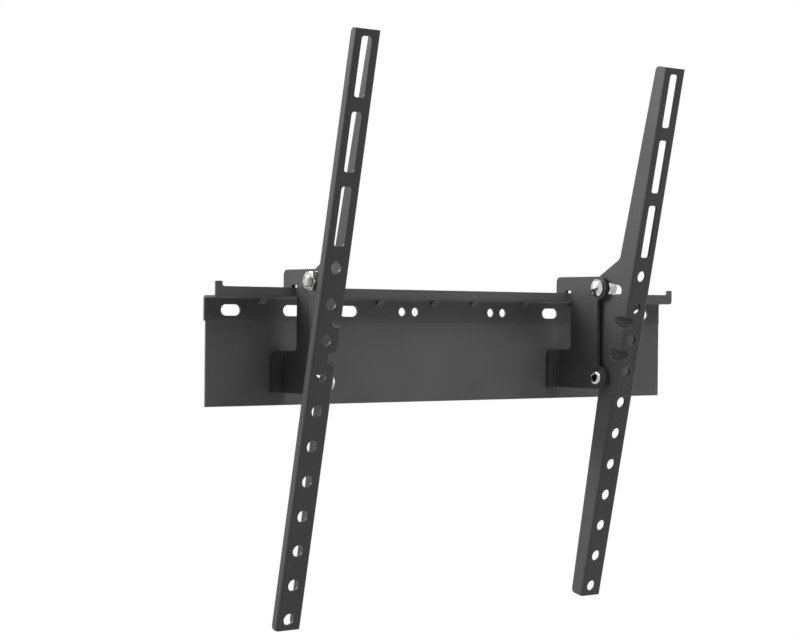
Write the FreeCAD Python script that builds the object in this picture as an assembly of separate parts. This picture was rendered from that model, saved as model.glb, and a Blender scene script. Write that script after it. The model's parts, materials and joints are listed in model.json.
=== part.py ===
import FreeCAD, Part
import math
import os

# Tilting television wall bracket: a folded wall plate whose top edge forms a rail, two hook
# brackets that hang on the rail and slide along it, and two long channel arms that carry the
# screen. Each arm tilts on its bracket's lower bolt and is clamped by the upper one.
# Millimetres. The origin is the centre of the row of wall slots, on the wall's surface.
# +X is to the right seen from the room, -Y is towards the room and +Z is up.

# Wall plate
plate_t = 1.5
plate_w = 445.8
plate_top = 10.2
plate_bottom = -67.5
panel_inset = 1.0
panel_step = 0.6
step_z = -7.5
step_h = 1.6
bend_inner_r = 1.0

# Rail: the plate's top edge, folded forward and then up
rail_reach = 14.7
lip_top = 16.4
tab_w = 5.4
tab_h = 3.6
tab_corner_r = 0.8
tab_foot_r = 1.6

# Wall fixing holes, all in one row at z = 0
wall_slot_l = 16.1
wall_slot_w = 7.9
wall_slot_x = (99.4, 149.2, 201.4)
wall_hole_d = 6.5
wall_hole_x = (37.3, 49.7)

# Pressed gussets that stiffen the fold between plate and rail
gusset_first_x = 19.5
gusset_pitch = 52.0
gusset_count = 4
gusset_leg = 4.2
gusset_w = 5.5

# Arms
arm_t = 1.8
arm_w = 20.3
arm_bottom_s = -8.0
arm_top_s = 410.7
arm_outer_bend_r = 2.2
outer_flange_d = 6.5
outer_flange_corner_r = 3.0
inner_flange_end_d = 11.6
inner_flange_mid_d = 17.3
inner_flange_corner_r = 3.5
ear_blend_r = 1.5
shoulder_top_s = 261.5
shoulder_r = 6.0
shoulder_angle = 47.6
tv_hole_d = 8.5
tv_hole_shift = 1.0
tv_hole_pitch = 25.0
tv_hole_count = 11
tv_slot_l = 41.7
tv_slot_first_s = 285.0
tv_slot_pitch = 50.3
tv_slot_count = 3

# Tilt mechanism, with places on the arm measured along it from its lowest hole and back
# from its front face
pivot_y = -49.5
pivot_z = -49.7
pivot_to_lock = 70.0
pivot_s = 166.0
pivot_d = 17.0
tilt_rest = 12.2
tilt_min = -2.0
tilt_max = 15.0
tilt_slot_side_gap = 0.3
tilt_slot_end_gap = 0.3
tilt_slot_wall = 3.3
pivot_ear_r = 9.0

# Pressed darts across the fold between the arm's face and its deep flange
dart_s = (187.0, 213.0)
dart_on_face = 8.5
dart_on_flange = 13.0
dart_r = 4.2
dart_tool_spare = 20.0

# Brackets
bracket_t = 3.2
bracket_top = 29.2
bracket_rear_gap = 0.1
bracket_corner_r = 4.0
finger_front_y = -12.6
hook_front_y = -19.1
hook_top = 18.4
hook_seat_gap = 0.05
hook_r = 1.2
lobe_top = -28.5
foot_w = 10.5
foot_bend_r = 0.4
foot_top_corner_r = 4.5
notch_r = 3.5
ear_r = 8.9
ear_fillet_r = 2.0
button_z = 0.0
button_r = 5.2
button_tip_r = 3.4
button_gap = 0.1

# Places of the two arms along the rail
right_arm_x = 120.55
left_arm_x = -169.15

# Fasteners
spacer_t = 1.4
lock_d = 8.0
lock_head_d = 13.6
lock_head_rim = 1.4
lock_head_h = 4.3
lock_nut_af = 13.0
lock_nut_h = 6.5
lock_washer_d = 14.0
lock_washer_t = 1.6
lock_tail = 2.6
pivot_bolt_d = 6.0
pivot_head_d = 10.5
pivot_head_h = 3.3
pivot_head_rim = 1.0
pivot_head_top_d = 5.8
pivot_socket_af = 4.0
pivot_socket_h = 2.0
pivot_nut_af = 10.0
pivot_nut_h = 5.0
pivot_tail = 1.2
pivot_washer_d = 12.0
pivot_washer_t = 1.2
pivot_fit = 0.05
bolt_gap = 0.2
thread_gap = 0.05
chamfer = 0.5

# Worked out from the sizes above
panel_front_y = -plate_t - panel_step
band_front_y = -plate_t
rail_front_y = band_front_y - rail_reach
lip_back_y = rail_front_y + plate_t
bracket_rear_y = panel_front_y - bracket_rear_gap
lock_z = pivot_z + pivot_to_lock
flange_x = bracket_t + spacer_t
channel_x = flange_x + arm_t
arm_centre_x = flange_x + arm_w / 2


def vector(x, y, z):
    return FreeCAD.Vector(x, y, z)


def block(x0, x1, y0, y1, z0, z1):
    return Part.makeBox(x1 - x0, y1 - y0, z1 - z0, vector(x0, y0, z0))


def rod(x0, x1, y, z, r):
    return Part.makeCylinder(r, x1 - x0, vector(x0, y, z), vector(1, 0, 0))


def on_yz(x):
    return lambda a, b: vector(x, a, b)


def on_xz(y):
    return lambda a, b: vector(a, y, b)


def on_xy(z):
    return lambda a, b: vector(a, b, z)


def outline(points, place):
    """Closed face from corner points (a, b, radius), rounding each corner by its radius."""
    count = len(points)
    ends = []
    edges = []
    for i, (a, b, r) in enumerate(points):
        corner = vector(a, b, 0)
        before = vector(*points[i - 1][:2], 0).sub(corner).normalize()
        after = vector(*points[(i + 1) % count][:2], 0).sub(corner).normalize()
        if r == 0:
            ends.append((corner, corner))
            continue
        half = before.getAngle(after) / 2
        reach = r / math.tan(half)
        start = corner.add(before * reach)
        end = corner.add(after * reach)
        middle = corner.add(before.add(after).normalize() * (r / math.sin(half) - r))
        ends.append((start, end))
        edges.append(Part.Arc(*[place(p.x, p.y) for p in (start, middle, end)]).toShape())
    for i in range(count):
        start = ends[i - 1][1]
        end = ends[i][0]
        if start.distanceToPoint(end) > 1e-6:
            edges.append(Part.makeLine(place(start.x, start.y), place(end.x, end.y)))
    return Part.Face(Part.Wire(Part.__sortEdges__(edges)))


def stadium(length, width, centre_a, centre_b, place, upright=False):
    """Face of a straight slot, length end to end."""
    half_l = length / 2
    half_w = width / 2
    half_a, half_b = (half_w, half_l) if upright else (half_l, half_w)
    r = half_w * 0.9999
    return outline([(centre_a - half_a, centre_b - half_b, r), (centre_a + half_a, centre_b - half_b, r),
                    (centre_a + half_a, centre_b + half_b, r), (centre_a - half_a, centre_b + half_b, r)], place)


def fillet_at(shape, r, test):
    """Round each straight edge whose middle passes the test."""
    edges = [e for e in shape.Edges if e.Curve.TypeId == "Part::GeomLine" and test(e)]
    return shape.makeFillet(r, edges)


def hexagon(af, x0, x1, y, z):
    """Hexagonal prism along X with chamfered corners at both ends."""
    corner = af / math.sqrt(3)
    points = [(y + corner * math.cos(math.radians(60 * i)), z + corner * math.sin(math.radians(60 * i)), 0)
              for i in range(6)]
    prism = outline(points, on_yz(x0)).extrude(vector(x1 - x0, 0, 0))
    cut = corner - af / 2
    rise = cut * math.tan(math.radians(30))
    profile = Part.makePolygon([vector(x0, y, z), vector(x0, y + af / 2, z), vector(x0 + rise, y + corner, z),
                                vector(x1 - rise, y + corner, z), vector(x1, y + af / 2, z),
                                vector(x1, y, z), vector(x0, y, z)])
    turned = Part.Face(profile).revolve(vector(0, y, z), vector(1, 0, 0), 360)
    return prism.common(turned)


def ring(x0, x1, y, z, outer_r, inner_r):
    return rod(x0, x1, y, z, outer_r).cut(rod(x0 - 1, x1 + 1, y, z, inner_r))


def rail_gusset(x):
    """Rib pressed into the fold under the rail, and the dent that it leaves on top."""
    z = plate_top - plate_t
    rib = Part.Face(Part.makePolygon([vector(x - gusset_w / 2, band_front_y, z),
                                      vector(x - gusset_w / 2, band_front_y - gusset_leg, z),
                                      vector(x - gusset_w / 2, band_front_y, z - gusset_leg),
                                      vector(x - gusset_w / 2, band_front_y, z)]))
    leg = gusset_leg + (2 - math.sqrt(2)) * plate_t
    inner_w = gusset_w - 2 * plate_t
    dent = Part.Face(Part.makePolygon([vector(x - inner_w / 2, 0, plate_top),
                                       vector(x - inner_w / 2, -leg, plate_top),
                                       vector(x - inner_w / 2, 0, plate_top - leg),
                                       vector(x - inner_w / 2, 0, plate_top)]))
    return rib.extrude(vector(gusset_w, 0, 0)), dent.extrude(vector(inner_w, 0, 0))


def wall_plate():
    """One folded sheet: panel, slightly recessed band with the wall holes, and rail."""
    outer_r = bend_inner_r + plate_t
    section = outline([(-panel_step, plate_bottom, 0), (-panel_step, step_z - step_h / 2, 0),
                       (0, step_z + step_h / 2, 0), (0, plate_top, outer_r),
                       (lip_back_y, plate_top, bend_inner_r), (lip_back_y, lip_top, 0),
                       (rail_front_y, lip_top, 0), (rail_front_y, plate_top - plate_t, outer_r),
                       (band_front_y, plate_top - plate_t, bend_inner_r),
                       (band_front_y, step_z + step_h / 2, 0),
                       (panel_front_y, step_z - step_h / 2, 0), (panel_front_y, plate_bottom, 0)],
                      on_yz(-plate_w / 2))
    plate = section.extrude(vector(plate_w, 0, 0))
    for side in (-1, 1):
        end = side * plate_w / 2
        inner = side * (plate_w / 2 - panel_inset)
        x0, x1 = sorted((end + side, inner))
        plate = plate.cut(block(x0, x1, panel_front_y - 1, 1, plate_bottom - 1, step_z))
        tab_inner = side * (plate_w / 2 - tab_w)
        foot = side * (plate_w / 2 - tab_w - tab_foot_r * 2)
        tab = outline([(end, lip_top - tab_h, 0), (end, lip_top + tab_h, tab_corner_r),
                       (tab_inner, lip_top + tab_h, tab_corner_r), (tab_inner, lip_top, tab_foot_r),
                       (foot, lip_top, 0), (foot, lip_top - tab_h, 0)], on_xz(rail_front_y))
        plate = plate.fuse(tab.extrude(vector(0, plate_t, 0)))
    for i in range(gusset_count):
        for side in (-1, 1):
            rib, dent = rail_gusset(side * (gusset_first_x + i * gusset_pitch))
            plate = plate.fuse(rib).cut(dent)
    through = vector(0, plate_t + 2, 0)
    for side in (-1, 1):
        for x in wall_slot_x:
            slot = stadium(wall_slot_l, wall_slot_w, side * x, 0, on_xz(band_front_y - 1))
            plate = plate.cut(slot.extrude(through))
        for x in wall_hole_x:
            plate = plate.cut(Part.makeCylinder(wall_hole_d / 2, through.y, vector(side * x, band_front_y - 1, 0),
                                                vector(0, 1, 0)))
    return plate.removeSplitter()


def foot(side, bottom_z):
    """Foot bent from the lobe's rear edge to lie flat on the panel, towards -X or +X."""
    near, far = (0, bracket_t) if side < 0 else (bracket_t, 0)
    tip = near + side * foot_w
    face_y = bracket_rear_y - bracket_t
    root_y = face_y - foot_bend_r - bracket_t
    section = outline([(far, root_y, 0), (far, bracket_rear_y, foot_bend_r + bracket_t), (tip, bracket_rear_y, 0),
                       (tip, face_y, 0), (near, face_y, foot_bend_r), (near, root_y, 0)], on_xy(bottom_z))
    shape = section.extrude(vector(0, 0, lobe_top - bottom_z))
    return fillet_at(shape, foot_top_corner_r, lambda e: abs(e.Length - bracket_t) < 1e-6
                     and abs(e.CenterOfMass.x - tip) < 0.01 and abs(e.CenterOfMass.z - lobe_top) < 0.01), root_y


def bracket(foot_side):
    """Hook plate with its free face at x = 0 and the arm on its +X side."""
    seat_z = plate_top + hook_seat_gap
    foot_z = pivot_z - ear_r
    profile = outline([(bracket_rear_y, bracket_top, bracket_corner_r), (bracket_rear_y, seat_z, hook_r / 2),
                       (finger_front_y, seat_z, hook_r), (finger_front_y, hook_top, hook_r),
                       (hook_front_y, hook_top, hook_r), (hook_front_y, lobe_top, notch_r),
                       (bracket_rear_y, lobe_top, 0), (bracket_rear_y, foot_z, 0),
                       (pivot_y, foot_z, 0), (pivot_y, bracket_top, 0)], on_yz(0))
    plate = profile.extrude(vector(bracket_t, 0, 0))
    bent, root_y = foot(foot_side, foot_z)
    plate = plate.cut(block(-1, bracket_t + 1, root_y, 0, foot_z - 1, lobe_top + 1)).fuse(bent)
    for z in (pivot_z, lock_z):
        plate = plate.fuse(rod(0, bracket_t, pivot_y, z, ear_r))
    plate = plate.removeSplitter()
    inner_corners = (pivot_z + ear_r, lock_z - ear_r)
    plate = fillet_at(plate, ear_fillet_r, lambda e: abs(e.Length - bracket_t) < 1e-6
                      and any(abs(e.CenterOfMass.z - z) < 0.01 for z in inner_corners)
                      and abs(e.CenterOfMass.y - pivot_y) < 0.01)
    plate = plate.cut(rod(-1, bracket_t + 1, pivot_y, lock_z, lock_d / 2 + bolt_gap))
    plate = plate.cut(rod(-1, bracket_t + 1, pivot_y, pivot_z, pivot_bolt_d / 2 + bolt_gap))
    button_y = pivot_y + button_r
    height = spacer_t - button_gap
    axis = vector(1, 0, 0)
    button = Part.makeCone(button_r, button_tip_r, height, vector(bracket_t, button_y, button_z), axis)
    return plate.fuse(button).removeSplitter()


def along_arm(angle):
    """Place of the lock bolt on the arm, as (depth, length), when the arm leans by an angle."""
    turn = math.radians(angle)
    return pivot_d + pivot_to_lock * math.sin(turn), pivot_s + pivot_to_lock * math.cos(turn)


def tilt_slot(place):
    """Curved slot in the deep flange that the lock bolt runs in, round the pivot."""
    half = lock_d / 2 + tilt_slot_side_gap
    spare = math.degrees(tilt_slot_end_gap / pivot_to_lock)
    first = tilt_min - spare
    last = tilt_max + spare

    def at(angle, r):
        turn = math.radians(angle)
        return place(pivot_d + r * math.sin(turn), pivot_s + r * math.cos(turn))

    middle = (first + last) / 2
    outer_r = pivot_to_lock + half
    inner_r = pivot_to_lock - half
    beyond = math.degrees(half / pivot_to_lock)
    edges = [Part.Arc(at(first, outer_r), at(middle, outer_r), at(last, outer_r)).toShape(),
             Part.Arc(at(last, outer_r), at(last + beyond, pivot_to_lock), at(last, inner_r)).toShape(),
             Part.Arc(at(last, inner_r), at(middle, inner_r), at(first, inner_r)).toShape(),
             Part.Arc(at(first, inner_r), at(first - beyond, pivot_to_lock), at(first, outer_r)).toShape()]
    return Part.Face(Part.Wire(edges))


def deep_flange_points():
    """Corners of the deep flange, as (depth, length, radius), from the bottom end up."""
    slot_end_d, slot_end_s = along_arm(tilt_max + math.degrees(tilt_slot_end_gap / pivot_to_lock))
    end_r = lock_d / 2 + tilt_slot_side_gap + tilt_slot_wall
    # rear edge: the line that touches the round ear at the pivot and the round end at the slot
    span_d = slot_end_d - pivot_d
    span_s = slot_end_s - pivot_s
    span = math.hypot(span_d, span_s)
    lean = math.atan2(span_d, span_s) + math.asin((end_r - pivot_ear_r) / span)
    rear_d = pivot_d + pivot_ear_r * math.cos(lean)
    rear_s = pivot_s - pivot_ear_r * math.sin(lean)
    # shoulder: a line at its own angle that touches the round end at the slot
    slope = math.radians(shoulder_angle)
    shoulder_d = slot_end_d + end_r * math.cos(slope)
    shoulder_s = slot_end_s + end_r * math.sin(slope)
    ear_bottom_s = pivot_s - pivot_ear_r
    rear_low = (rear_d + (ear_bottom_s - rear_s) * math.tan(lean), ear_bottom_s)
    # meeting point of the rear edge and the shoulder
    run = ((shoulder_d - rear_d) * math.cos(lean) - (shoulder_s - rear_s) * math.sin(lean)) / math.sin(slope + lean)
    top_corner = (shoulder_d - run * math.sin(slope), shoulder_s + run * math.cos(slope))
    back = (shoulder_d - inner_flange_mid_d) / math.sin(slope)
    shoulder_foot_s = shoulder_s + back * math.cos(slope)
    return [(0, arm_bottom_s, 0), (inner_flange_end_d, arm_bottom_s, inner_flange_corner_r),
            (inner_flange_mid_d, ear_bottom_s, ear_blend_r), (*rear_low, pivot_ear_r), (*top_corner, end_r),
            (inner_flange_mid_d, shoulder_foot_s, shoulder_r),
            (inner_flange_end_d, arm_top_s, inner_flange_corner_r), (0, arm_top_s, 0)]


def dart_tool(s, r):
    """Round-nosed wedge across the fold, whose nose follows the dart's bottom line."""
    corner_x = -arm_w / 2
    lean = math.atan2(dart_on_flange, dart_on_face)
    out = vector(-math.sin(lean), -math.cos(lean), 0)
    along = vector(-math.cos(lean), math.sin(lean), 0)
    start = vector(corner_x + dart_on_face, 0, s).add(out * dart_r).sub(along * dart_tool_spare)
    length = math.hypot(dart_on_face, dart_on_flange) + 2 * dart_tool_spare
    nose = Part.makeCylinder(r, length, start, along)
    base = start.add(vector(0, 0, -r))
    beyond = out * dart_tool_spare
    wedge = Part.Face(Part.makePolygon([base, base.add(beyond), base.add(beyond).add(along * length),
                                        base.add(along * length), base])).extrude(vector(0, 0, 2 * r))
    return nose.fuse(wedge)


def arm(hole_x):
    """Channel arm standing upright: x across, y back from the face, z along from the lowest hole."""
    half = arm_w / 2
    face = block(-half, half, 0, arm_t, arm_bottom_s, arm_top_s)
    deep = outline(deep_flange_points(), on_yz(-half)).extrude(vector(arm_t, 0, 0))
    shallow = outline([(0, arm_bottom_s, 0), (outer_flange_d, arm_bottom_s, outer_flange_corner_r),
                       (outer_flange_d, arm_top_s, outer_flange_corner_r), (0, arm_top_s, 0)],
                      on_yz(half - arm_t)).extrude(vector(arm_t, 0, 0))
    channel = face.fuse([deep, shallow]).removeSplitter()
    length = arm_top_s - arm_bottom_s
    channel = fillet_at(channel, arm_outer_bend_r, lambda e: abs(e.Length - length) < 0.01
                        and abs(e.CenterOfMass.y) < 0.01)
    channel = fillet_at(channel, arm_outer_bend_r - arm_t, lambda e: abs(e.Length - length) < 0.01
                        and abs(e.CenterOfMass.y - arm_t) < 0.01)
    inside = block(-half, half, 0, inner_flange_mid_d, arm_bottom_s, arm_top_s)
    inside = fillet_at(inside, arm_outer_bend_r, lambda e: abs(e.Length - length) < 0.01
                       and abs(e.CenterOfMass.y) < 0.01)
    for s in dart_s:
        channel = channel.fuse(dart_tool(s, dart_r + arm_t).common(inside)).cut(dart_tool(s, dart_r))
    for i in range(tv_hole_count):
        channel = channel.cut(Part.makeCylinder(tv_hole_d / 2, arm_t + 2, vector(hole_x, -1, i * tv_hole_pitch),
                                                vector(0, 1, 0)))
    for i in range(tv_slot_count):
        slot = stadium(tv_slot_l, tv_hole_d, hole_x, tv_slot_first_s + i * tv_slot_pitch, on_xz(-1), upright=True)
        channel = channel.cut(slot.extrude(vector(0, arm_t + 2, 0)))
    channel = channel.cut(tilt_slot(on_yz(-half - 1)).extrude(vector(arm_t + 2, 0, 0)))
    channel = channel.cut(rod(-half - 1, -half + arm_t + 1, pivot_d, pivot_s, pivot_bolt_d / 2 + pivot_fit))
    return channel.removeSplitter()


def arm_in_place(hole_x):
    """The arm beside its bracket, leaning by its rest angle about the pivot."""
    shape = arm(hole_x)
    shape.translate(vector(arm_centre_x, pivot_y - pivot_d, pivot_z - pivot_s))
    shape.rotate(vector(0, pivot_y, pivot_z), vector(1, 0, 0), tilt_rest)
    return shape


def lock_bolt():
    """Carriage bolt: domed head on the bracket's free side, plain shank through to the nut."""
    r = lock_head_d / 2
    tail_x = channel_x + lock_washer_t + lock_nut_h + lock_tail
    sag = lock_head_h - lock_head_rim
    dome_r = (r * r + sag * sag) / (2 * sag)
    turn = math.asin(r / dome_r) / 2
    middle = vector(-lock_head_rim - sag + dome_r * (1 - math.cos(turn)), dome_r * math.sin(turn), 0)
    edges = [Part.makeLine(vector(0, 0, 0), vector(0, r, 0)),
             Part.makeLine(vector(0, r, 0), vector(-lock_head_rim, r, 0)),
             Part.Arc(vector(-lock_head_rim, r, 0), middle, vector(-lock_head_h, 0, 0)).toShape(),
             Part.makeLine(vector(-lock_head_h, 0, 0), vector(0, 0, 0))]
    head = Part.Face(Part.Wire(edges)).revolve(vector(0, 0, 0), vector(1, 0, 0), 360)
    head.translate(vector(0, pivot_y, lock_z))
    shank = rod(0, tail_x - chamfer, pivot_y, lock_z, lock_d / 2)
    point = Part.makeCone(lock_d / 2, lock_d / 2 - chamfer, chamfer, vector(tail_x - chamfer, pivot_y, lock_z),
                          vector(1, 0, 0))
    return head.fuse([shank, point]).removeSplitter()


def pivot_bolt():
    """Socket button-head bolt put in from the bracket's free side."""
    tail_x = channel_x + pivot_washer_t + pivot_nut_h + pivot_tail
    r = pivot_head_d / 2
    shank = rod(0, tail_x - chamfer, pivot_y, pivot_z, pivot_bolt_d / 2)
    point = Part.makeCone(pivot_bolt_d / 2, pivot_bolt_d / 2 - chamfer, chamfer,
                          vector(tail_x - chamfer, pivot_y, pivot_z), vector(1, 0, 0))
    rim = rod(-pivot_head_rim, 0, pivot_y, pivot_z, r)
    crown = Part.makeCone(r, pivot_head_top_d / 2, pivot_head_h - pivot_head_rim,
                          vector(-pivot_head_rim, pivot_y, pivot_z), vector(-1, 0, 0))
    corner = pivot_socket_af / math.sqrt(3)
    points = [(pivot_y + corner * math.cos(math.radians(60 * i)),
               pivot_z + corner * math.sin(math.radians(60 * i)), 0) for i in range(6)]
    socket = outline(points, on_yz(-pivot_head_h - 1)).extrude(vector(pivot_socket_h + 1, 0, 0))
    return shank.fuse([point, rim, crown]).cut(socket).removeSplitter()


def nut(af, x0, x1, z, bolt_d):
    return hexagon(af, x0, x1, pivot_y, z).cut(rod(x0 - 1, x1 + 1, pivot_y, z, bolt_d / 2 + thread_gap))


def assembly(minus_x):
    """One bracket with its arm and fasteners, with the bracket's free face at x = 0. The object's -X
    is minus_x here. The foot, the row of holes and the lower bolt's head are all on that side."""
    washer_x = channel_x + lock_washer_t
    grip = channel_x + pivot_washer_t
    lock_bore = lock_d / 2 + bolt_gap
    pivot_bore = pivot_bolt_d / 2 + bolt_gap
    lower_bolt = pivot_bolt()
    lower_nut = nut(pivot_nut_af, grip, grip + pivot_nut_h, pivot_z, pivot_bolt_d)
    if minus_x > 0:
        middle = vector(grip / 2, 0, 0)
        lower_bolt = lower_bolt.mirror(middle, vector(1, 0, 0))
        lower_nut = lower_nut.mirror(middle, vector(1, 0, 0))
    return {
        "bracket": bracket(minus_x),
        "arm": arm_in_place(minus_x * tv_hole_shift),
        "lock_bolt": lock_bolt(),
        "lock_spacer": ring(bracket_t, flange_x, pivot_y, lock_z, lock_washer_d / 2, lock_bore),
        "lock_washer": ring(channel_x, washer_x, pivot_y, lock_z, lock_washer_d / 2, lock_bore),
        "lock_nut": nut(lock_nut_af, washer_x, washer_x + lock_nut_h, lock_z, lock_d),
        "pivot_bolt": lower_bolt,
        "pivot_spacer": ring(bracket_t, flange_x, pivot_y, pivot_z, pivot_washer_d / 2, pivot_bore),
        "pivot_washer": ring(channel_x, grip, pivot_y, pivot_z, pivot_washer_d / 2, pivot_bore),
        "pivot_nut": lower_nut,
    }


def save(name, shape):
    shape.exportStep(os.path.join("parts", name + ".step"))


# The two sides are mirror images, apart from what assembly() keeps towards the object's -X.
os.makedirs("parts", exist_ok=True)
save("wall_plate", wall_plate())
for piece, shape in assembly(-1).items():
    shape.translate(vector(right_arm_x - arm_centre_x, 0, 0))
    save("right_" + piece, shape)
for piece, shape in assembly(1).items():
    shape = shape.mirror(vector(0, 0, 0), vector(1, 0, 0))
    shape.translate(vector(left_arm_x + arm_centre_x, 0, 0))
    save("left_" + piece, shape)
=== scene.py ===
import json
import math

import bmesh
import bpy
from mathutils import Matrix, Vector


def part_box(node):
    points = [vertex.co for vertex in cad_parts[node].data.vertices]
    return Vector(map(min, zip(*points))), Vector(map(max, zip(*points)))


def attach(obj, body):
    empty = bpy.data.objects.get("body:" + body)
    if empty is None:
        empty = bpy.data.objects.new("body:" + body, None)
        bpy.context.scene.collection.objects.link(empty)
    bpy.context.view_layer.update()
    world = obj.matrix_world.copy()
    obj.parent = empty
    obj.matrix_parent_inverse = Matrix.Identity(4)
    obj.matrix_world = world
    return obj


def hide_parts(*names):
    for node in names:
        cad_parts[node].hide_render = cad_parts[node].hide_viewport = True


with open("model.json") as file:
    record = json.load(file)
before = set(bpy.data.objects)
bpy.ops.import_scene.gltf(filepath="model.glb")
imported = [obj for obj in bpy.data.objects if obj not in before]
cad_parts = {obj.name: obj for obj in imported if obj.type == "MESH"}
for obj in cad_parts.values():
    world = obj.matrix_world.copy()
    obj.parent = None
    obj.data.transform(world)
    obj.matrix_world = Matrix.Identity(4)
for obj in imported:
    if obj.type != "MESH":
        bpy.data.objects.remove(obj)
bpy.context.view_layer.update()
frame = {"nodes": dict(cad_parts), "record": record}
nodes = frame["nodes"]
mm = 0.001


# The wall plate is one sheet of mild steel, punched, folded into a rail along its top edge and
# then powder coated. The coat is sprayed on dry and melted in an oven, which leaves a dark
# semi-gloss skin with a slight orange peel.
def linear(hex_colour):
    """Linear colour from an sRGB hex value."""
    channels = [int(hex_colour[i:i + 2], 16) / 255 for i in (1, 3, 5)]
    return [c / 12.92 if c <= 0.04045 else ((c + 0.055) / 1.055) ** 2.4 for c in channels] + [1]


def feed(owner, node, links):
    """Links outputs to a node's inputs, in the material or world that owns it."""
    for name, output in links.items():
        owner.node_tree.links.new(output, node.inputs[name])


def add_node(owner, kind, settings=None, links=None):
    """Adds one shader node, with its settings and the outputs that feed its inputs."""
    node = owner.node_tree.nodes.new(kind)
    for name, value in (settings or {}).items():
        if isinstance(name, int) or name in node.inputs:
            node.inputs[name].default_value = value
        else:
            setattr(node, name, value)
    feed(owner, node, links or {})
    return node


def new_material(name):
    """A new material and its shader."""
    material = bpy.data.materials.new(name)
    material.use_nodes = True
    return material, material.node_tree.nodes["Principled BSDF"]


# most of a noise pattern lies between these two
noise_low = 0.3
noise_high = 0.7


def powder_coat(name, hex_thin, hex_thick, roughness, peel_mm, peel_height_mm):
    """Oven-cured powder coat. Its tone and gloss drift a little with the coat's thickness, over hand
    widths, and the peel breaks up the edge of each highlight."""
    material, shader = new_material(name)
    coords = add_node(material, "ShaderNodeTexCoord")
    cloud_mm = 70
    cloud = add_node(material, "ShaderNodeTexNoise", {"Scale": 1 / (cloud_mm * mm), "Detail": 2.0},
                     {"Vector": coords.outputs["Object"]})
    # the pigment's own grain is 0.05 mm, and is drawn at 0.7 mm so that it shows
    grain_mm = 0.7
    grain_share = 0.35
    grain = add_node(material, "ShaderNodeTexNoise", {"Scale": 1 / (grain_mm * mm), "Detail": 1.0},
                     {"Vector": coords.outputs["Object"]})
    blend = add_node(material, "ShaderNodeMath", {"operation": "MULTIPLY_ADD", 1: grain_share},
                     {0: grain.outputs["Fac"], 2: cloud.outputs["Fac"]})
    tone = add_node(material, "ShaderNodeValToRGB", None, {"Fac": blend.outputs[0]})
    thick_at = 0.5
    thin_at = 0.85
    for stop, at, hex_tone in zip(tone.color_ramp.elements, (thick_at, thin_at), (hex_thick, hex_thin)):
        stop.position = at
        stop.color = linear(hex_tone)
    gloss_drift = 0.03
    gloss = add_node(material, "ShaderNodeMapRange",
                     {"From Min": noise_low, "From Max": noise_high,
                      "To Min": roughness - gloss_drift, "To Max": roughness + gloss_drift},
                     {"Value": cloud.outputs["Fac"]})
    peel = add_node(material, "ShaderNodeTexNoise", {"Scale": 1 / (peel_mm * mm), "Detail": 0.0},
                    {"Vector": coords.outputs["Object"]})
    # the coat flows back from each cut edge while it melts, and leaves it round
    edge_r = 0.5 * mm
    edge = add_node(material, "ShaderNodeBevel", {"samples": 8, "Radius": edge_r})
    bump = add_node(material, "ShaderNodeBump", {"Strength": 1.0, "Distance": peel_height_mm * mm},
                    {"Height": peel.outputs["Fac"], "Normal": edge.outputs["Normal"]})
    # the cured powder's fine texture scatters most of its mirror gloss
    shader.inputs["Specular IOR Level"].default_value = 0.2
    feed(material, shader, {"Base Color": tone.outputs["Color"], "Roughness": gloss.outputs["Result"],
                            "Normal": bump.outputs["Normal"]})
    return material


def coat_node(name, material):
    """Gives a CAD node one finish all over."""
    mesh = nodes[name].data
    mesh.materials.clear()
    mesh.materials.append(material)


panel_coat = powder_coat("powder coated steel panel", hex_thin="#525252", hex_thick="#4a4a4a",
                         roughness=0.34, peel_mm=1.6, peel_height_mm=0.008)
coat_node("wall_plate", panel_coat)


# The two hook brackets are cut from thicker steel, and each has a foot bent to stand against the
# panel. Their coat is the same powder in a deeper tone, and a little smoother.
bracket_coat = powder_coat("powder coated steel hook", hex_thin="#3a3a3a", hex_thick="#343434",
                           roughness=0.30, peel_mm=1.6, peel_height_mm=0.006)
for side in ("left", "right"):
    coat_node(side + "_bracket", bracket_coat)


# The two arms are channels folded from thinner steel than the brackets, with holes and slots for
# the screen's screws and a satin coat of the same powder. The slots are punched with nearly square
# ends, so each arm is the CAD channel with its slots filled and punched again.
def link_mesh(name, bm):
    """Turns a mesh under construction into an object."""
    mesh = bpy.data.meshes.new(name)
    bm.to_mesh(mesh)
    bm.free()
    piece = bpy.data.objects.new(name, mesh)
    bpy.context.scene.collection.objects.link(piece)
    return piece


def stand_in(piece, node, body, slot, *materials):
    """Lets a piece stand for a CAD node. It rides on the node's body and carries its finish."""
    for material in materials:
        piece.data.materials.append(material)
    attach(piece, body)
    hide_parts(node)


def punch(bm, arm_place, up, length, width, corner_r, reach):
    """Adds a bar with rounded corners that stands across the arm's face, as the punch does."""
    corner_steps = 6
    rims = ([], [])
    for quarter, (turn_across, turn_up) in enumerate(((1, 1), (-1, 1), (-1, -1), (1, -1))):
        for k in range(corner_steps + 1):
            angle = math.pi / 2 * (quarter + k / corner_steps)
            across = turn_across * (width / 2 - corner_r) + corner_r * math.cos(angle)
            along = up + turn_up * (length / 2 - corner_r) + corner_r * math.sin(angle)
            for rim, depth in zip(rims, reach):
                rim.append(bm.verts.new(arm_place @ Vector((across, depth, along))))
    front, back = rims
    for i in range(len(front)):
        j = (i + 1) % len(front)
        bm.faces.new((front[i], front[j], back[j], back[i]))
    bm.faces.new(front[::-1])
    bm.faces.new(back)


# points of two meshes that round to the same step of this grid are the same point
grid = 0.001 * mm


def grid_place(place):
    """A point in whole steps of the grid, to find it again in another mesh."""
    return tuple(round(c / grid) for c in place)


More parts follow.
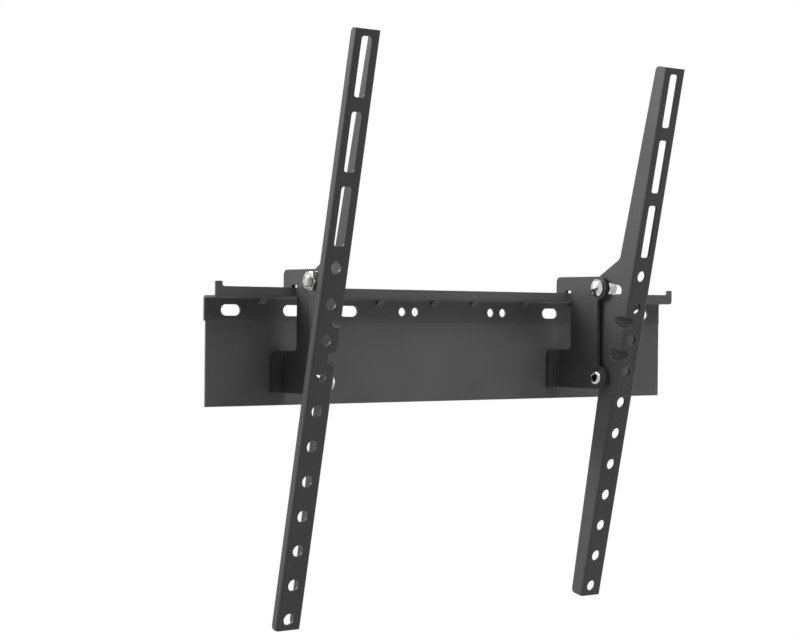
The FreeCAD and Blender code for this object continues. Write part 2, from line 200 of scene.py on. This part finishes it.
def edge_shades(mesh):
    """For each edge, by the places of its ends, the shading normals there in each of its faces."""
    shades = {}
    for polygon in mesh.polygons:
        corners = list(polygon.loop_indices)
        for pair in zip(corners, corners[1:] + corners[:1]):
            ends = sorted((grid_place(mesh.vertices[mesh.loops[i].vertex_index].co), i) for i in pair)
            key = (ends[0][0], ends[1][0])
            shades.setdefault(key, []).append([mesh.corner_normals[i].vector.copy() for _, i in ends])
    return shades


arm_coat = powder_coat("powder coated steel channel", hex_thin="#3b3b3b", hex_thick="#353535",
                       roughness=0.38, peel_mm=1.4, peel_height_mm=0.008)
arm_sheet = 1.8 * mm
slot_w = 8.5 * mm
slot_l = 40.6 * mm
plain_slot_l = 41.7 * mm
slot_corner_r = 1.9 * mm
slot_pitch = 50.3 * mm
slots_up_arm = (-slot_pitch, 0, slot_pitch)
# a wall of a plain slot is looked for within this distance of its place
hair = 0.05 * mm
shading_break = math.radians(4)
crease = math.radians(32)
mounts = {mount["name"]: mount for mount in frame["record"]["mounts"]}
for side in ("left", "right"):
    plain = nodes[side + "_arm"].data
    # the record gives the middle slot's place on the arm's face, and the way out of that face
    middle_slot = mounts[side + "_screen_slots"]
    sideways = Vector((1, 0, 0))
    inward = -Vector(middle_slot["axis"])
    turn = Matrix((sideways, inward, sideways.cross(inward))).transposed()
    arm_place = Matrix.Translation(middle_slot["pos_m"]) @ turn.to_4x4()
    to_arm = arm_place.inverted()

    # the channel without its slots
    bm = bmesh.new()
    bm.from_mesh(plain)
    bmesh.ops.remove_doubles(bm, verts=bm.verts, dist=grid)
    walls = []
    for face in bm.faces:
        across, depth, along = to_arm @ face.calc_center_median()
        by_slot = any(abs(along - up) < plain_slot_l / 2 + hair for up in slots_up_arm)
        if by_slot and abs(across) < slot_w / 2 + hair and hair < depth < arm_sheet - hair:
            walls.append(face)
    bmesh.ops.delete(bm, geom=walls, context="FACES")
    bmesh.ops.holes_fill(bm, edges=[edge for edge in bm.edges if edge.is_boundary], sides=0)
    bmesh.ops.recalc_face_normals(bm, faces=bm.faces)
    blank = link_mesh(side + "_blank", bm)

    # the punches reach one thickness past the sheet on both sides
    bm = bmesh.new()
    for up in slots_up_arm:
        punch(bm, arm_place, up, slot_l, slot_w, slot_corner_r, (-arm_sheet, 2 * arm_sheet))
    bmesh.ops.recalc_face_normals(bm, faces=bm.faces)
    punches = link_mesh(side + "_punches", bm)
    cut = blank.modifiers.new("slots", "BOOLEAN")
    cut.operation = "DIFFERENCE"
    cut.solver = "EXACT"
    cut.object = punches
    bpy.context.view_layer.update()
    cut_blank = blank.evaluated_get(bpy.context.evaluated_depsgraph_get())
    punched = bpy.data.meshes.new_from_object(cut_blank)
    bpy.data.objects.remove(punches)
    bpy.data.objects.remove(blank)

    # an edge stays crisp where the CAD channel's own shading breaks across it, and a new edge where
    # it turns by more than the crease
    shades = edge_shades(plain)
    bm = bmesh.new()
    bm.from_mesh(punched)
    for edge in bm.edges:
        key = tuple(sorted(grid_place(vertex.co) for vertex in edge.verts))
        if len(shades.get(key, [])) == 2:
            edge.smooth = all(one.angle(other) < shading_break for one, other in zip(*shades[key]))
        else:
            edge.smooth = edge.calc_face_angle(0) < crease
    for face in bm.faces:
        face.smooth = True
    arm = link_mesh(side + "_channel_arm", bm)
    arm.modifiers.new("flat faces", "WEIGHTED_NORMAL").keep_sharp = True
    stand_in(arm, side + "_arm", side + "_tilting_arm", "arm_powder_coat", arm_coat)


# Spacers keep each arm clear of its bracket, one on each bolt. They are moulded in black nylon,
# which is matt with a fine grain from the mould, and only their rims show.
nylon, shader = new_material("moulded black nylon")
coords = add_node(nylon, "ShaderNodeTexCoord")
mould_grain_mm = 0.4
mould_grain_height_mm = 0.02
mould_grain = add_node(nylon, "ShaderNodeTexNoise", {"Scale": 1 / (mould_grain_mm * mm), "Detail": 2.0},
                       {"Vector": coords.outputs["Object"]})
mould_bump = add_node(nylon, "ShaderNodeBump", {"Strength": 0.6, "Distance": mould_grain_height_mm * mm},
                      {"Height": mould_grain.outputs["Fac"]})
shader.inputs["Base Color"].default_value = linear("#1c1c1d")
shader.inputs["Roughness"].default_value = 0.6
shader.inputs["IOR"].default_value = 1.53
feed(nylon, shader, {"Normal": mould_bump.outputs["Normal"]})
for side in ("left", "right"):
    for bolt in ("lock", "pivot"):
        coat_node(f"{side}_{bolt}_spacer", nylon)


# Nuts and washers are pressed or cut from steel and zinc plated in a barrel, which leaves a bright
# skin with a faint cloud and fine scuffs. The nuts are greyer than the flat washers.
def zinc_plate(name, hex_bright, hex_dull, roughness):
    """Barrel-plated zinc: bright metal with soft grey clouds and fine scuffs."""
    material, shader = new_material(name)
    coords = add_node(material, "ShaderNodeTexCoord")
    cloud_mm = 3.0
    cloud = add_node(material, "ShaderNodeTexNoise", {"Scale": 1 / (cloud_mm * mm), "Detail": 3.0},
                     {"Vector": coords.outputs["Object"]})
    tone = add_node(material, "ShaderNodeValToRGB", None, {"Fac": cloud.outputs["Fac"]})
    dull_at = 0.35
    bright_at = 0.65
    for stop, at, hex_tone in zip(tone.color_ramp.elements, (dull_at, bright_at), (hex_dull, hex_bright)):
        stop.position = at
        stop.color = linear(hex_tone)
    polished_by = 0.04
    scuffed_by = 0.06
    gloss = add_node(material, "ShaderNodeMapRange",
                     {"From Min": noise_low, "From Max": noise_high,
                      "To Min": roughness - polished_by, "To Max": roughness + scuffed_by},
                     {"Value": cloud.outputs["Fac"]})
    scuff_mm = 0.35
    scuff_depth_mm = 0.003
    scuff = add_node(material, "ShaderNodeTexNoise", {"Scale": 1 / (scuff_mm * mm), "Detail": 1.0},
                     {"Vector": coords.outputs["Object"]})
    bump = add_node(material, "ShaderNodeBump", {"Strength": 1.0, "Distance": scuff_depth_mm * mm},
                    {"Height": scuff.outputs["Fac"]})
    shader.inputs["Metallic"].default_value = 1.0
    feed(material, shader, {"Base Color": tone.outputs["Color"], "Roughness": gloss.outputs["Result"],
                            "Normal": bump.outputs["Normal"]})
    return material


nut_zinc = zinc_plate("zinc plated steel nut", hex_bright="#c6c6c1", hex_dull="#9c9c97", roughness=0.2)
washer_zinc = zinc_plate("zinc plated steel washer", hex_bright="#e6e6e2", hex_dull="#cfcfca",
                         roughness=0.16)
for side in ("left", "right"):
    for bolt in ("lock", "pivot"):
        coat_node(f"{side}_{bolt}_nut", nut_zinc)
        coat_node(f"{side}_{bolt}_washer", washer_zinc)


# The upper bolts clamp the tilt. They are M8 carriage bolts with a polished dome on the bracket's
# free face, and their rolled thread stands out of the nut. Heads are bright zinc, and the thread is
# dull where the nut has run over it.
def turned_bolt(name, rings, middle, toward, dull):
    """A closed skin over rings across the bolt's axis. Each ring is its x and a radius, or a radius
    by angle. The skin's bands are counted from the cap on the first ring, and those in the slice
    dull take the second material: the rubbed thread of a carriage bolt, and the painted shade in a
    pivot screw's socket."""
    sides = 48
    bm = bmesh.new()
    loops = []
    for x, radius in rings:
        loop = []
        for i in range(sides):
            angle = 2 * math.pi * i / sides
            r = radius(angle) if callable(radius) else radius
            y = middle.y + toward * r * math.cos(angle)
            loop.append(bm.verts.new((x, y, middle.z + r * math.sin(angle))))
        loops.append(loop)
    bands = []
    for first, second in zip(loops, loops[1:]):
        band = []
        for i in range(sides):
            j = (i + 1) % sides
            band.append(bm.faces.new((first[i], first[j], second[j], second[i])))
        bands.append(band)
    bands.insert(0, [bm.faces.new(loops[0][::-1])])
    bands.append([bm.faces.new(loops[-1])])
    for band in bands[dull]:
        for face in band:
            face.material_index = 1
    bmesh.ops.recalc_face_normals(bm, faces=bm.faces)
    piece = link_mesh(name, bm)
    piece.data.shade_smooth()
    piece.data.set_sharp_from_angle(angle=crease)
    return piece


def threaded_end(x_from, x_end, shank_r, pitch, cut, point_h):
    """Rings of a bolt's rolled thread and its point. The ridge climbs one pitch in each turn and
    fades at both ends, and the point is turned down to just under the thread's root."""
    toward = 1 if x_end > x_from else -1
    steps = 8
    fade_turns = 0.6
    runout = 0.2 * mm
    point_cut = 1.1 * cut
    start = x_from + toward * runout
    tail = x_end - toward * point_h
    count = round(abs(tail - start) / pitch * steps)
    rings = []
    for k in range(count + 1):
        run = k * pitch / steps
        left = count * pitch / steps - run
        fade = min(1, run / (pitch * fade_turns), left / (pitch * fade_turns))

        def radius(angle, run=run, fade=fade):
            phase = (run / pitch - angle / (2 * math.pi)) % 1
            return shank_r - cut * fade * abs(2 * phase - 1)

        rings.append((start + toward * run, radius))
    rings.append((x_end, shank_r - point_cut))
    return rings


bolt_zinc = zinc_plate("bright zinc carriage bolt", hex_bright="#dadad5", hex_dull="#b6b6b0",
                       roughness=0.12)
thread_zinc = zinc_plate("zinc rubbed dull on the thread", hex_bright="#b0b0ac", hex_dull="#868682",
                         roughness=0.26)
dome_h = 4.3 * mm
dome_rim_h = 1.4 * mm
dome_chamfer = 0.3 * mm
dome_steps = 14
lock_r = 4.0 * mm
lock_pitch = 1.25 * mm
lock_cut = 0.65 * mm
lock_point_h = 0.6 * mm
for side, toward in (("left", -1), ("right", 1)):
    low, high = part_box(side + "_lock_bolt")
    washer_low, washer_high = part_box(side + "_lock_washer")
    start, end, washer = low.x, high.x, washer_low.x
    if toward < 0:
        start, end, washer = high.x, low.x, washer_high.x
    seat = start + toward * dome_h
    head_r = (high.y - low.y) / 2
    rise = dome_h - dome_rim_h
    ball_r = (head_r ** 2 + rise ** 2) / (2 * rise)
    spread = math.asin(head_r / ball_r)
    rings = []
    for k in range(1, dome_steps + 1):
        turn = spread * k / dome_steps
        rings.append((start + toward * ball_r * (1 - math.cos(turn)), ball_r * math.sin(turn)))
    rings.append((seat - toward * dome_chamfer, head_r))
    rings.append((seat, head_r - dome_chamfer))
    rings.append((seat, lock_r))
    rings.append((washer, lock_r))
    past_washer = slice(len(rings), None)
    rings += threaded_end(washer, end, lock_r, lock_pitch, lock_cut, lock_point_h)
    bolt = turned_bolt(side + "_carriage_bolt", rings, (low + high) / 2, toward, past_washer)
    stand_in(bolt, side + "_lock_bolt", side + "_carriage", "bright_zinc", bolt_zinc, thread_zinc)


# The lower bolts are M6 button heads with a hexagon socket, and the arms turn on them. Both are put
# in from the left, so the left one's head is inside its channel. Their rolled thread ends just past
# the nut.
def hexagon_radius(across_flats):
    """A hexagon as a radius by angle."""
    step = math.radians(60)

    def radius(angle):
        return across_flats / 2 / math.cos((angle + step / 2) % step - step / 2)

    return radius


screw_zinc = zinc_plate("bright zinc pivot screw", hex_bright="#d2d2cd", hex_dull="#b0b0aa",
                        roughness=0.16)
# the socket's near-black zinc is painted shade, for the shade deep in the hexagon recess
socket_painted_shade = zinc_plate("zinc socket with painted shade", hex_bright="#2e2e2c", hex_dull="#1e1e1d",
                         roughness=0.3)
button_h = 3.3 * mm
button_rim_h = 1.0 * mm
button_crown_h = button_h - button_rim_h
button_chamfer = 0.2 * mm
button_flat_share = 0.66
button_steps = 8
# the dark middle of the real head is wider than the 4 mm of a usual M6 socket
socket_af = 5.2 * mm
socket_h = 2.4 * mm
socket_chamfer = 0.2 * mm
socket_mouth_r = 0.64 * socket_af
drill_point_h = 0.5 * mm
drill_point_r = 0.1 * socket_af
pivot_r = 3.0 * mm
pivot_pitch = 1.0 * mm
pivot_cut = 0.55 * mm
pivot_point_h = 0.5 * mm
for side in ("left", "right"):
    low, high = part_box(side + "_pivot_bolt")
    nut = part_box(side + "_pivot_nut")[0].x
    seat = low.x + button_h
    head_r = (high.y - low.y) / 2
    flat_r = button_flat_share * head_r
    rings = [(low.x + socket_h + drill_point_h, drill_point_r),
             (low.x + socket_h, hexagon_radius(socket_af)),
             (low.x + socket_chamfer, hexagon_radius(socket_af))]
    in_socket = slice(len(rings))
    rings.append((low.x, socket_mouth_r))
    for k in range(button_steps, -1, -1):
        turn = math.pi / 2 * k / button_steps
        crown = seat - button_rim_h - button_crown_h * math.sin(turn)
        rings.append((crown, flat_r + (head_r - flat_r) * math.cos(turn)))
    rings.append((seat - button_chamfer, head_r))
    rings.append((seat, head_r - button_chamfer))
    rings.append((seat, pivot_r))
    rings.append((nut, pivot_r))
    rings += threaded_end(nut, high.x, pivot_r, pivot_pitch, pivot_cut, pivot_point_h)
    screw = turned_bolt(side + "_pivot_screw", rings, (low + high) / 2, 1, in_socket)
    stand_in(screw, side + "_pivot_bolt", side + "_carriage", "zinc_fasteners", screw_zinc, socket_painted_shade)


# The studio has a white paper sweep that runs down behind the object and out under it. The camera
# and every reflection see it as plain white, and it takes the light of the lamps like paper.
def looked_at(owner):
    """1 for a ray from the camera, a reflection or a see-through surface, and 0 for a bounce of light."""
    path = add_node(owner, "ShaderNodeLightPath")
    seen = add_node(owner, "ShaderNodeMath", {"operation": "MAXIMUM"},
                    {0: path.outputs["Is Camera Ray"], 1: path.outputs["Is Glossy Ray"]})
    seen = add_node(owner, "ShaderNodeMath", {"operation": "MAXIMUM"},
                    {0: seen.outputs[0], 1: path.outputs["Is Transmission Ray"]})
    return seen.outputs[0]


paper, shader = new_material("white paper sweep")
shader.inputs["Base Color"].default_value = linear("#e8e8e8")
shader.inputs["Roughness"].default_value = 0.9
glow = add_node(paper, "ShaderNodeEmission", {"Color": (1, 1, 1, 1), "Strength": 1.0})
mix = add_node(paper, "ShaderNodeMixShader", None,
               {0: looked_at(paper), 1: shader.outputs["BSDF"], 2: glow.outputs["Emission"]})
feed(paper, paper.node_tree.nodes["Material Output"], {"Surface": mix.outputs["Shader"]})
floor_z = -0.62
floor_end_y = -2.5
wall_y = 2.4
wall_top_z = 3.0
bend_r = 0.7
bend_steps = 12
half_width = 4.0
profile = [(floor_end_y, floor_z), (wall_y - bend_r, floor_z)]
for k in range(1, bend_steps + 1):
    turn = math.pi / 2 * k / bend_steps
    profile.append((wall_y - bend_r + bend_r * math.sin(turn), floor_z + bend_r * (1 - math.cos(turn))))
profile.append((wall_y, wall_top_z))
bm = bmesh.new()
edges = [[bm.verts.new((x, y, z)) for x in (-half_width, half_width)] for y, z in profile]
for first, second in zip(edges, edges[1:]):
    bm.faces.new((first[0], first[1], second[1], second[0]))
sweep = link_mesh("sweep", bm)
sweep.data.materials.append(paper)


# The room round it is white to the camera and to reflections, and gives the object a low, even
# light from all sides.
room_light = 0.1
room_white = 1.0
world = bpy.data.worlds.new("studio")
bpy.context.scene.world = world
world.use_nodes = True
sky = world.node_tree.nodes["Background"]
sky.inputs["Color"].default_value = (1, 1, 1, 1)
level = add_node(world, "ShaderNodeMapRange", {"To Min": room_light, "To Max": room_white},
                 {"Value": looked_at(world)})
feed(world, sky, {"Strength": level.outputs["Result"]})


# Three soft boxes are turned to the middle of the row of wall slots: the key lamp from above the
# front, and a rim lamp and a weak side lamp from behind on the left.
def soft_box(name, place, size, watts):
    """A square lamp with a wide, even face, turned to the frame's origin."""
    lamp = bpy.data.lights.new(name, "AREA")
    lamp.shape = "SQUARE"
    lamp.size = size
    lamp.energy = watts
    holder = bpy.data.objects.new(name, lamp)
    holder.location = place
    holder.rotation_mode = "QUATERNION"
    holder.rotation_quaternion = (-Vector(place)).to_track_quat("-Z", "Y")
    bpy.context.scene.collection.objects.link(holder)


soft_box("key", place=(0.3, -1.1, 1.7), size=1.2, watts=39)
soft_box("rim", place=(-1.5, 1.1, 1.3), size=1.4, watts=100)
soft_box("side", place=(-1.7, 1.2, 0.3), size=1.8, watts=6)


# The camera has a long lens. It stands to the left of the object, at about the height of the wall
# screws, and is rolled by half a degree.
camera_place = Vector((-894.3, -1092.0, -4.62)) * mm
camera_yaw = math.radians(37.69)
camera_pitch = math.radians(-0.06)
camera_roll = math.radians(0.508)
forward = Vector((math.sin(camera_yaw) * math.cos(camera_pitch),
                  math.cos(camera_yaw) * math.cos(camera_pitch), math.sin(camera_pitch)))
level_right = Vector((math.cos(camera_yaw), -math.sin(camera_yaw), 0))
level_up = level_right.cross(forward)
right = math.cos(camera_roll) * level_right + math.sin(camera_roll) * level_up
up = -math.sin(camera_roll) * level_right + math.cos(camera_roll) * level_up
camera_data = bpy.data.cameras.new("camera")
camera_data.sensor_width = 36
camera_data.lens = 82.8
camera_data.clip_start = 0.05
camera_data.clip_end = 20
camera = bpy.data.objects.new("camera", camera_data)
turn = Matrix((right, up, -forward)).transposed()
camera.matrix_world = Matrix.Translation(camera_place) @ turn.to_4x4()
bpy.context.scene.collection.objects.link(camera)
bpy.context.scene.camera = camera
bpy.context.scene.view_settings.view_transform = "Standard"
